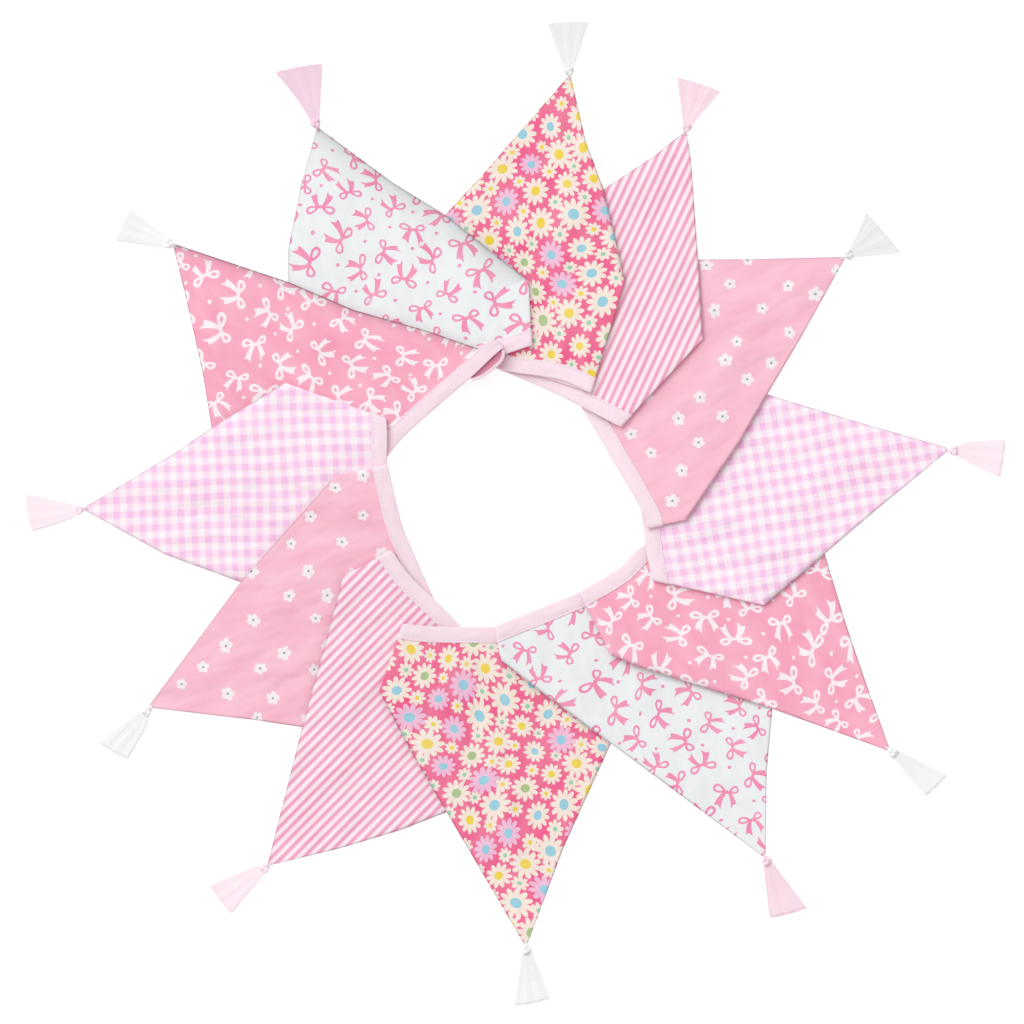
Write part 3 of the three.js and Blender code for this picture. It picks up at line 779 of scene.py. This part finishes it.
def daisy_cloth():
    """Big daisies in a loose repeat, with small ones between them."""
    graph = Graph("daisy_cloth_look")
    x, y = graph.wandering(amount=9.0, scale=0.02)
    x, y = turned(x, y, degrees=31)
    ground = colour(237, 114, 151)
    cream = colour(241, 227, 215)
    lilac = colour(237, 189, 214)
    yellow = colour(238, 210, 88)
    blue = colour(154, 204, 220)
    sage = colour(174, 195, 142)
    mint = colour(160, 206, 180)
    repeat = {"pitch": 18.4, "scatter": 0.13}

    yellow_over = 0.55
    small_x, small_y, size, kind = graph.motifs(x, y, shift=0.5, **repeat)
    small = petals(small_x, small_y, count=8, radius=size * 1.4 + 3.9, waist=0.52)
    small_middle = length_of(small_x, small_y) < 1.35
    surface = graph.paint(small, ground, cream)
    surface = graph.paint(small_middle, surface, graph.paint(kind > yellow_over, mint, yellow))

    lilac_over, blue_over, sage_over = 0.76, 0.42, 0.72
    big_x, big_y, size, kind = graph.motifs(x, y, shift=0.0, **repeat)
    radius = size * 2.6 + 7.0
    big = petals(big_x, big_y, count=11, radius=radius, waist=0.52)
    big_middle = length_of(big_x, big_y) < radius * 0.33
    middle_kind = (kind * 3.7).call("FRACT")
    middle_colour = graph.paint(middle_kind > blue_over, yellow, blue)
    middle_colour = graph.paint(middle_kind > sage_over, middle_colour, sage)
    middle_colour = graph.paint(kind > lilac_over, middle_colour, blue)
    surface = graph.paint(big, surface, graph.paint(kind > lilac_over, cream, lilac))
    surface = graph.paint(big_middle, surface, middle_colour)
    return graph.finish(surface)


def stripe_cloth():
    graph = Graph("stripe_cloth_look")
    softness, pink = 0.6, 0.45
    line = (wave(graph.across, 4.6, "COSINE") * softness + pink).clamped()
    return graph.finish(graph.paint(line, colour(248, 232, 240), colour(238, 160, 188)))


def blossom_cloth():
    graph = Graph("blossom_cloth_look")
    x, y = graph.wandering(amount=5.0, scale=0.03)
    x, y = turned(x, y, degrees=24)
    spot_x, spot_y, size, _ = graph.motifs(x, y, pitch=21.5, scatter=0.36, shift=0.15)
    blossom = petals(spot_x, spot_y, count=5, radius=size + 3.5, waist=0.6)
    middle = length_of(spot_x, spot_y) < 0.75
    surface = graph.paint(blossom, colour(245, 189, 205), colour(243, 233, 237))
    surface = graph.paint(middle, surface, colour(156, 172, 166))
    return graph.finish(surface)


def gingham_cloth():
    """Bands both ways, deeper where they cross."""
    graph = Graph("gingham_cloth_look")
    x, y = graph.wandering(amount=2.5, scale=0.02)
    x, y = turned(x, y, degrees=2)
    softness, pink = 1.6, 0.45
    bands = []
    for place, pitch in ((x, 8.6), (y, 7.8)):
        bands.append((wave(place, pitch, "COSINE") * softness + pink).clamped())
    both = bands[0] * bands[1]
    either = bands[0] + bands[1] - both
    surface = graph.paint(either, colour(249, 239, 244), colour(249, 221, 238))
    return graph.finish(graph.paint(both, surface, colour(245, 197, 231)))


def bow(x, y, half_width, hole):
    """Inside or not a ribbon bow: two open loops above and two notched tails below.

    The two sides mirror each other, one a little larger. Lengths are shares of half_width.
    """
    uneven = 0.1
    loop_tilt = (0.94, 0.34)  # cosine and sine
    loop_middle, loop_half_length, loop_half_height, loop_flare = 0.56, 0.44, 0.28, 0.24
    hole_shift, hole_length, hole_flare = 0.04, 2.0, 1.7
    tail_tilt = (0.67, 0.743)
    tail_curve, tail_shift, tail_start, tail_end = 0.28, 0.1, 0.06, 1.2
    tail_half_width, tail_flare, notch_depth = 0.08, 0.17, 0.14
    knot_radius = 0.13

    x = (x / half_width).call("ABSOLUTE") * (x.call("SIGN") * uneven + 1.0)
    y = y / half_width
    loop_x = x * loop_tilt[0] + y * loop_tilt[1] - loop_middle
    loop_y = y * loop_tilt[0] - x * loop_tilt[1]
    loop_height = loop_x * loop_flare + loop_half_height
    outer = length_of(loop_x / loop_half_length, loop_y / loop_height) < 1.0
    hole_height = loop_x * hole * hole_flare + hole
    inner = length_of((loop_x - hole_shift) / (hole * hole_length), loop_y / hole_height) < 1.0
    along = x * tail_tilt[0] - y * tail_tilt[1]
    aside = (x * tail_tilt[1] + y * tail_tilt[0] + along * along * tail_curve - tail_shift).call("ABSOLUTE")
    tail_width = along * tail_flare + tail_half_width
    notch = tail_end - (1.0 - aside / tail_width) * notch_depth
    tail = (aside < tail_width) * (along > tail_start) * (along < notch)
    knot = length_of(x, y) < knot_radius
    return (outer * (1.0 - inner)).call("MAXIMUM", tail).call("MAXIMUM", knot)


def bow_cloth(name, ground, ribbon, hole):
    """Bows in a loose repeat, with dots between most of them."""
    graph = Graph(name)
    x, y = graph.wandering(amount=11.0, scale=0.02)
    x, y = turned(x, y, degrees=17)
    no_dot_under = 0.25
    bow_x, bow_y, size, _ = graph.motifs(x, y, pitch=20.5, scatter=0.22, shift=0.0)
    dot_x, dot_y, _, kind = graph.motifs(x, y, pitch=20.5, scatter=0.3, shift=0.5)
    surface = graph.paint(bow(bow_x, bow_y, size + 7.5, hole), ground, ribbon)
    dot = (length_of(dot_x, dot_y) < 1.05) * (kind > no_dot_under)
    return graph.finish(graph.paint(dot, surface, ribbon))


LOOKS = {
    "daisy": daisy_cloth(),
    "stripe": stripe_cloth(),
    "blossom": blossom_cloth(),
    "gingham": gingham_cloth(),
    "pink_bow": bow_cloth("pink_bow_cloth_look", colour(246, 171, 192), colour(247, 236, 240), 0.09),
    "white_bow": bow_cloth("white_bow_cloth_look", colour(234, 236, 238), colour(240, 150, 181), 0.12),
    "tape": Graph("tape_look", TAPE_COTTON).finish(colour(244, 220, 230)),
    # A deeper pink copy of the tape's look: painted shade for the loop's turned-in faces.
    "tape_painted_shade": Graph("tape_inside_look", TAPE_COTTON).finish(colour(208, 132, 155)),
}
for tone, (slot, shade) in THREADS.items():
    LOOKS[tone] = new_material(f"{tone}_{slot}_look", {**SILKY_THREAD, "Base Color": colour(*shade)})


# Pieces.


def name_of(kind, number):
    return f"{kind}_{number:02d}"


def folded_shares(width, bend, flap_steps):
    """Shares of a turned-under width where its mesh is divided: round the bend, then over the flap."""
    turned_share = min(1.0, math.pi * bend / max(width, TINY))
    shares = [turned_share * i / BEND_STEPS for i in range(1, BEND_STEPS + 1)]
    return shares + [lerp(turned_share, 1, i / flap_steps) for i in range(1, flap_steps + 1)]


def row_shares(lay, top_corner, sewn_length):
    """The fold's share of the run from the tape to the tip, and shares of that run where the rows end."""
    fold_share = 0.0
    on_fold = [0.0]
    if lay.folded:
        fold_share = np.linalg.norm(top_corner - lay.end) / sewn_length
        start = np.linalg.norm(top_corner - lay.start) / lay.length
        last_full = 1 - math.pi * CLOTH_BEND / lay.corner_width
        steps = max(2, round((1 - start) * lay.length / GRID))
        places = np.append(np.linspace(start, last_full, steps + 1), [(last_full + 1) / 2, 1.0])
        on_fold = fold_share * (places - start) / (1 - start)
    open_steps = round((1 - fold_share) * sewn_length / GRID)
    return fold_share, np.append(on_fold, np.linspace(fold_share, 1, open_steps + 1)[1:])


def flap_row(lay, edge, is_folded):
    """A row's places across the turned corner; on the open side they all fall on the edge."""
    if not is_folded:
        return [edge] * (BEND_STEPS + CLOTH_FLAP_STEPS)
    on_fold = min(1.0, np.linalg.norm(edge - lay.start) / lay.length)
    place = lerp(lay.start, lay.end, on_fold)
    reach = (lay.corner - lay.start) * (1 - on_fold)
    bend = lay.bend(place[None, :])[0]
    return [place + reach * share for share in folded_shares(reach @ lay.out, bend, CLOTH_FLAP_STEPS)]


def build_flag(flag, number):
    """A flag's cloth as rows from its heading to its tip, each from the hidden edge to the sewn one."""
    lay = Lay(flag, number)
    top = lay.seam(TAPE_WIDTH - TUCK)
    aside = square_to(unit(top[-1] - lay.tip)) * TIP_WIDTH / 2
    shoulder = [lay.end] if lay.folded else []
    flank = [top[0]] + [on_plan(p) for p in [flag["hidden"]] + flag["side"][::-1]] + [lay.tip - aside]
    sewn = [top[-1]] + shoulder + [on_plan(p) for p in flag["sewn"][::-1]] + [lay.tip + aside]
    fold_share, shares = row_shares(lay, top[-1], line_length(sewn))

    parts = np.linspace(0, 1, len(top))
    straight = lerp(top[0], top[-1], parts[:, None])
    left, right = at_shares(flank, shares), at_shares(sewn, shares)
    fade = np.maximum(0, 1 - shares / HEADING_CURVE)
    grid = lerp(left[:, None, :], right[:, None, :], parts[None, :, None])
    grid = grid + (top - straight)[None, :, :] * fade[:, None, None]
    if lay.folded:
        flaps = [flap_row(lay, edge, share <= fold_share + TINY) for share, edge in zip(shares, right)]
        grid = np.concatenate([grid, np.array(flaps)], axis=1)

    rows, columns = grid.shape[:2]
    flat = grid.reshape(-1, 2)
    over = lay(flat, CLOTH / 2).reshape(rows, columns, 3)
    under = lay(flat, -CLOTH / 2).reshape(rows, columns, 3)
    heading = unit(top[-1] - top[0])
    grain = math.radians(flag.get("grain", 0))
    sideways = heading * math.cos(grain) + square_to(heading) * math.sin(grain)
    from_middle = flat - top.mean(axis=0)
    cut = np.stack([from_middle @ sideways, from_middle @ square_to(sideways)], axis=1)
    cut += FLAG_PLACE["first"] + FLAG_PLACE["step"] * number

    # Distances to the open edges, for the painted shade line, and the painted shade along the sewn edge.
    to_left = np.linalg.norm(grid - grid[:, :1], axis=2)
    to_right = np.linalg.norm(grid - right[:, None, :], axis=2)
    to_right[shares <= fold_share] = INSIDE
    deepest, fading = flag.get("edge_shade", (0.0, 1.0))
    edge = np.stack([np.minimum(to_left, to_right), deepest * np.exp(-to_right / fading)], axis=2)
    mesh = Mesh()
    mesh.add_sheet(over, under, cut.reshape(rows, columns, 2), edge)
    piece = mesh.build(name_of("cloth", number), [LOOKS[flag["print"]]])
    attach(piece, "root")
    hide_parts(name_of("flag", number))
    return piece, quad_area(grid)


def quad_area(grid):
    """The area of a grid of flat places, in square metres."""
    first = grid[1:, 1:] - grid[:-1, :-1]
    second = grid[:-1, 1:] - grid[1:, :-1]
    doubled = np.abs(first[..., 0] * second[..., 1] - first[..., 1] * second[..., 0]).sum()
    return float(doubled / 2) * MM * MM


def tape_sections():
    """The folded tape's outer and inner faces, from its upper free edge round the bend to its lower one.

    Each place is (distance from the bend's outer side, distance from mid thickness).
    """
    half = TAPE / 2
    stitch_line = TAPE_WIDTH - STITCH["inset"]
    midway, bend_end = TAPE_WIDTH * 0.55, half + 0.3
    leaf = [
        (TAPE_WIDTH, half - TAPE_ROUND["height"]),
        (TAPE_WIDTH - TAPE_ROUND["width"], half),
        (stitch_line + GROOVE["half_width"], half),
        (stitch_line, half - GROOVE["depth"]),
        (stitch_line - GROOVE["half_width"], half),
        (midway, half),
        (bend_end, half),
    ]
    inside = half - TAPE_LEAF
    sections = []
    for upper, radius in ((leaf, half), ([(width, inside) for width, _ in leaf], inside)):
        angles = np.linspace(0, math.pi, BEND_STEPS + 1)
        bend = [(half - radius * math.sin(angle), radius * math.cos(angle)) for angle in angles]
        sections.append(upper + bend + [(width, -offset) for width, offset in upper[::-1]])
    return sections


def build_tape(flag, number):
    """A flag's length of tape: folded lengthwise over the cloth's edge, then back under with the corner."""
    lay = Lay(flag, number)
    inner = lay.rim
    outer = lay.seam(TAPE_WIDTH)
    seen = len(inner)
    if lay.folded:
        reach = lay.corner - lay.start
        share = 1 - np.linalg.norm(outer[-1] - lay.start) / lay.length
        backs = []
        for first, part in ((lay.start, 1), (outer[-1], share)):
            shares = folded_shares(reach @ lay.out * part, TAPE_BEND, TAPE_FLAP_STEPS)
            backs.append(first + np.outer(shares, reach * part))
    else:
        steps = np.linspace(0, 1, TAPE_END_STEPS + 1)[1:, None]
        ends = ((inner[-1], "inner"), (outer[-1], "outer"))
        backs = [lerp(first, on_plan(TAPE_END[side]), steps) for first, side in ends]
    inner = np.vstack([inner, backs[0]])
    outer = np.vstack([outer, backs[1]])

    sections = tape_sections()
    grids = []
    for section in sections:
        columns = [lay(lerp(inner, outer, width / TAPE_WIDTH), offset) for width, offset in section]
        grids.append(np.stack(columns, axis=1))
    run = run_along(outer)
    cut = np.stack(np.meshgrid(run_along(sections[0]), run), axis=-1) + TAPE_PLACE
    mesh = Mesh()
    mesh.add_sheet(grids[0], grids[1], cut)
    stitch_line = lerp(inner, outer, 1 - STITCH["inset"] / TAPE_WIDTH)[:seen]
    add_stitches(mesh, lay, stitch_line, TAPE / 2 - GROOVE["depth"])
    piece = mesh.build(name_of("tape", number), [LOOKS["tape"]])
    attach(piece, "root")
    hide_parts(name_of("binding", number))
    return piece, run[-1] * MM


def add_stitches(mesh, lay, line, level):
    """Short raised threads along a line on the tape's upper leaf."""
    length = line_length(line)
    count = int(length / STITCH["pitch"])
    half = STITCH["length"] / 2 / length
    low, high = level + STITCH["edge_height"], level + STITCH["height"]
    for i in range(count):
        middle = (i + 0.5) / count
        start, centre, end = at_shares(line, [middle - half, middle, middle + half])
        aside = square_to(unit(end - start)) * STITCH["width"] / 2
        flat = [start, centre - aside, end, centre + aside, centre]
        points = lay(flat, [level, low, level, low, high])
        mesh.add(points, [[0, 1, 4], [1, 2, 4], [2, 3, 4], [3, 0, 4], [3, 2, 1, 0]])


def build_loop():
    """The hanging loop: tape standing on edge, its lower side turned in towards flag 11, where a deeper
    pink copy of the tape's look is painted shade.
    """
    route = even_points([on_plan(p) for p in LOOP_ROUTE], count=LOOP["steps"])
    aside = square_to(directions(route))
    low = height(route, LOOPED) - LOOP["drop"]
    section = np.array(LOOP_SECTION)
    normal = square_to(directions(section[:, :2]))
    grids = []
    for face in (1, -1):
        columns = []
        for (across, level, half), (out, up) in zip(section, normal):
            place = route + aside * (across + face * half * out)
            columns.append(np.column_stack([place, low + level + face * half * up]))
        grids.append(np.stack(columns, axis=1))
    run = np.linspace(0, line_length(route), len(route))
    across_tape = np.linspace(0, LOOP["flat_width"], len(section))
    cut = np.stack(np.meshgrid(across_tape, run), axis=-1) + LOOP_PLACE
    mesh = Mesh()
    mesh.add_sheet(grids[0], grids[1], cut)
    # The turned-in strips take the painted shade copy of the tape's look.
    strips = len(section) - 1
    for face in range(2 * strips * (len(route) - 1)):
        mesh.materials[face] = int(face % strips >= LOOP["turned_in"])
    piece = mesh.build("loop", [LOOKS["tape"], LOOKS["tape_painted_shade"]])
    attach(piece, "root")
    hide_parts("tie_loop")
    return piece, line_length(route) * MM


def add_knot(mesh, put, turn):
    """An overhand knot, turned as seen from above."""
    t = np.linspace(0, 2 * math.pi, KNOT["rings"])
    knot_x = (np.sin(t) + 2 * np.sin(2 * t)) / 3
    knot_y = (np.cos(t) - 2 * np.cos(2 * t)) / 3
    across = KNOT["half_width"] - KNOT["tube"]
    x = (knot_x * math.cos(turn) - knot_y * math.sin(turn)) * across
    y = (knot_y * math.cos(turn) + knot_x * math.sin(turn)) * across
    z = KNOT["height"] / 2 - np.sin(3 * t) * (KNOT["height"] / 2 - KNOT["tube"])
    mesh.add_tube(put(x, y, z), KNOT["tube"], KNOT["sides"])


def build_tassel(flag, tassel, number):
    """A tassel lying flat: a knot of thread at the flag's tip and a fan of fine threads."""
    rng = np.random.default_rng(TASSEL_SEED + number)
    tip, left, right = (on_plan(p) for p in (flag["tip"], tassel["left"], tassel["right"]))
    way = (left + right) / 2 - tip
    forward = unit(way)
    sideways = -square_to(forward)
    start = KNOT["half_width"] + PIECE_GAP
    knot = tip + forward * start
    length = np.linalg.norm(way) - start
    half_end = (right - left) / 2
    half_width = half_end @ sideways
    slant = half_end @ forward

    def put(x, y, z):
        return np.column_stack([knot + np.outer(x, sideways) + np.outer(y, forward), z])

    mesh = Mesh()
    share = np.linspace(0, 1, FAN["rings"])
    for layer in range(FAN["layers"]):
        taper = FAN["layer_taper"] * layer
        neck_level = FAN["neck_level"] + FAN["neck_layer"] * layer
        for i in range(FAN["threads"]):
            place = (2 * i + 1 + FAN["layer_shift"] * (layer - 1)) / FAN["threads"] - 1
            spread = share ** lerp(*tassel["spread"], (place + 1) / 2)
            ragged = rng.uniform(-FAN["ragged_end"], FAN["ragged_end"])
            reach = length * (1 + FAN["rounding"] * (1 - place * place) - taper + ragged)
            x = lerp(place * FAN["neck_half_width"], half_width * place * (1 - taper), spread)
            y = lerp(FAN["neck_start"], reach + slant * place, share)
            pleat = sum(tall * math.sin(waves * place + shift * number) for tall, waves, shift in PLEATS)
            end_level = FAN["end_level"] + FAN["end_layer"] * layer + pleat * (layer > 0)
            end_level += rng.uniform(-FAN["ragged_level"], FAN["ragged_level"])
            z = lerp(neck_level, end_level, np.minimum(1, share / FAN["neck_share"]))
            wide = lerp(FAN["neck_half_width"], half_width, spread) / FAN["threads"] * FAN["overlap"]
            radius = np.maximum(FAN["thinnest"], wide)
            mesh.add_tube(put(x, y, z), radius, FAN["sides"], FAN["flatten"], flat=True)

    add_knot(mesh, put, rng.uniform(-KNOT["turn"], KNOT["turn"]))
    levels = np.array(SEWING["levels"])
    for aside in SEWING["places"]:
        y = np.linspace(-start - SEWING["past_tip"], -SEWING["short_of_middle"], len(levels))
        mesh.add_tube(put(np.full(len(levels), aside), y, levels), SEWING["radius"], SEWING["sides"])

    piece = mesh.build(name_of("threads", number), [LOOKS[tassel["look"]]])
    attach(piece, "root")
    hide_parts(name_of("tassel", number))


# The stage and the whole bunting.


def build_camera():
    camera = bpy.data.objects.new("camera", bpy.data.cameras.new("camera"))
    camera.data.type = "ORTHO"
    camera.data.ortho_scale = PHOTO_SIDE * MM_PER_PIXEL * MM
    camera.data.clip_end = CAMERA["clip_end"]
    x, y = on_plan(PHOTO_MIDDLE) * MM
    camera.location = (x, y, CAMERA["height"])
    bpy.context.scene.collection.objects.link(camera)
    bpy.context.scene.camera = camera


def build_light():
    """A wide soft light from a far place, even over the whole ring."""
    light = bpy.data.lights.new("key", "SUN")
    light.angle = math.radians(KEY["spread"])
    light.energy = KEY["strength"]
    light.color = KEY["tint"]
    lamp = bpy.data.objects.new("key", light)
    lamp.location = KEY["source"]
    lamp.rotation_euler = (-Vector(KEY["source"])).to_track_quat("-Z", "Y").to_euler()
    bpy.context.scene.collection.objects.link(lamp)


def build_stage():
    """A plain floor, aglow so that it is as white as in the photograph, and an even light all round."""
    bpy.ops.mesh.primitive_plane_add(size=FLOOR["side"], location=(0, 0, FLOOR["level"]))
    floor = bpy.context.object
    floor.name = "floor"
    floor.data.materials.append(new_material("floor_look", FLOOR_LOOK))

    world = bpy.data.worlds.new("studio")
    world.use_nodes = True
    background = world.node_tree.nodes["Background"]
    background.inputs["Color"].default_value = FILL["tint"]
    background.inputs["Strength"].default_value = FILL["strength"]
    bpy.context.scene.world = world


build_camera()
build_stage()
build_light()
bpy.context.scene.view_settings.view_transform = "Standard"

for number, (flag, tassel) in enumerate(zip(FLAGS, TASSELS), start=1):
    cloth, area = build_flag(flag, number)
    tape, tape_length = build_tape(flag, number)
    build_tassel(flag, tassel, number)

loop, loop_length = build_loop()
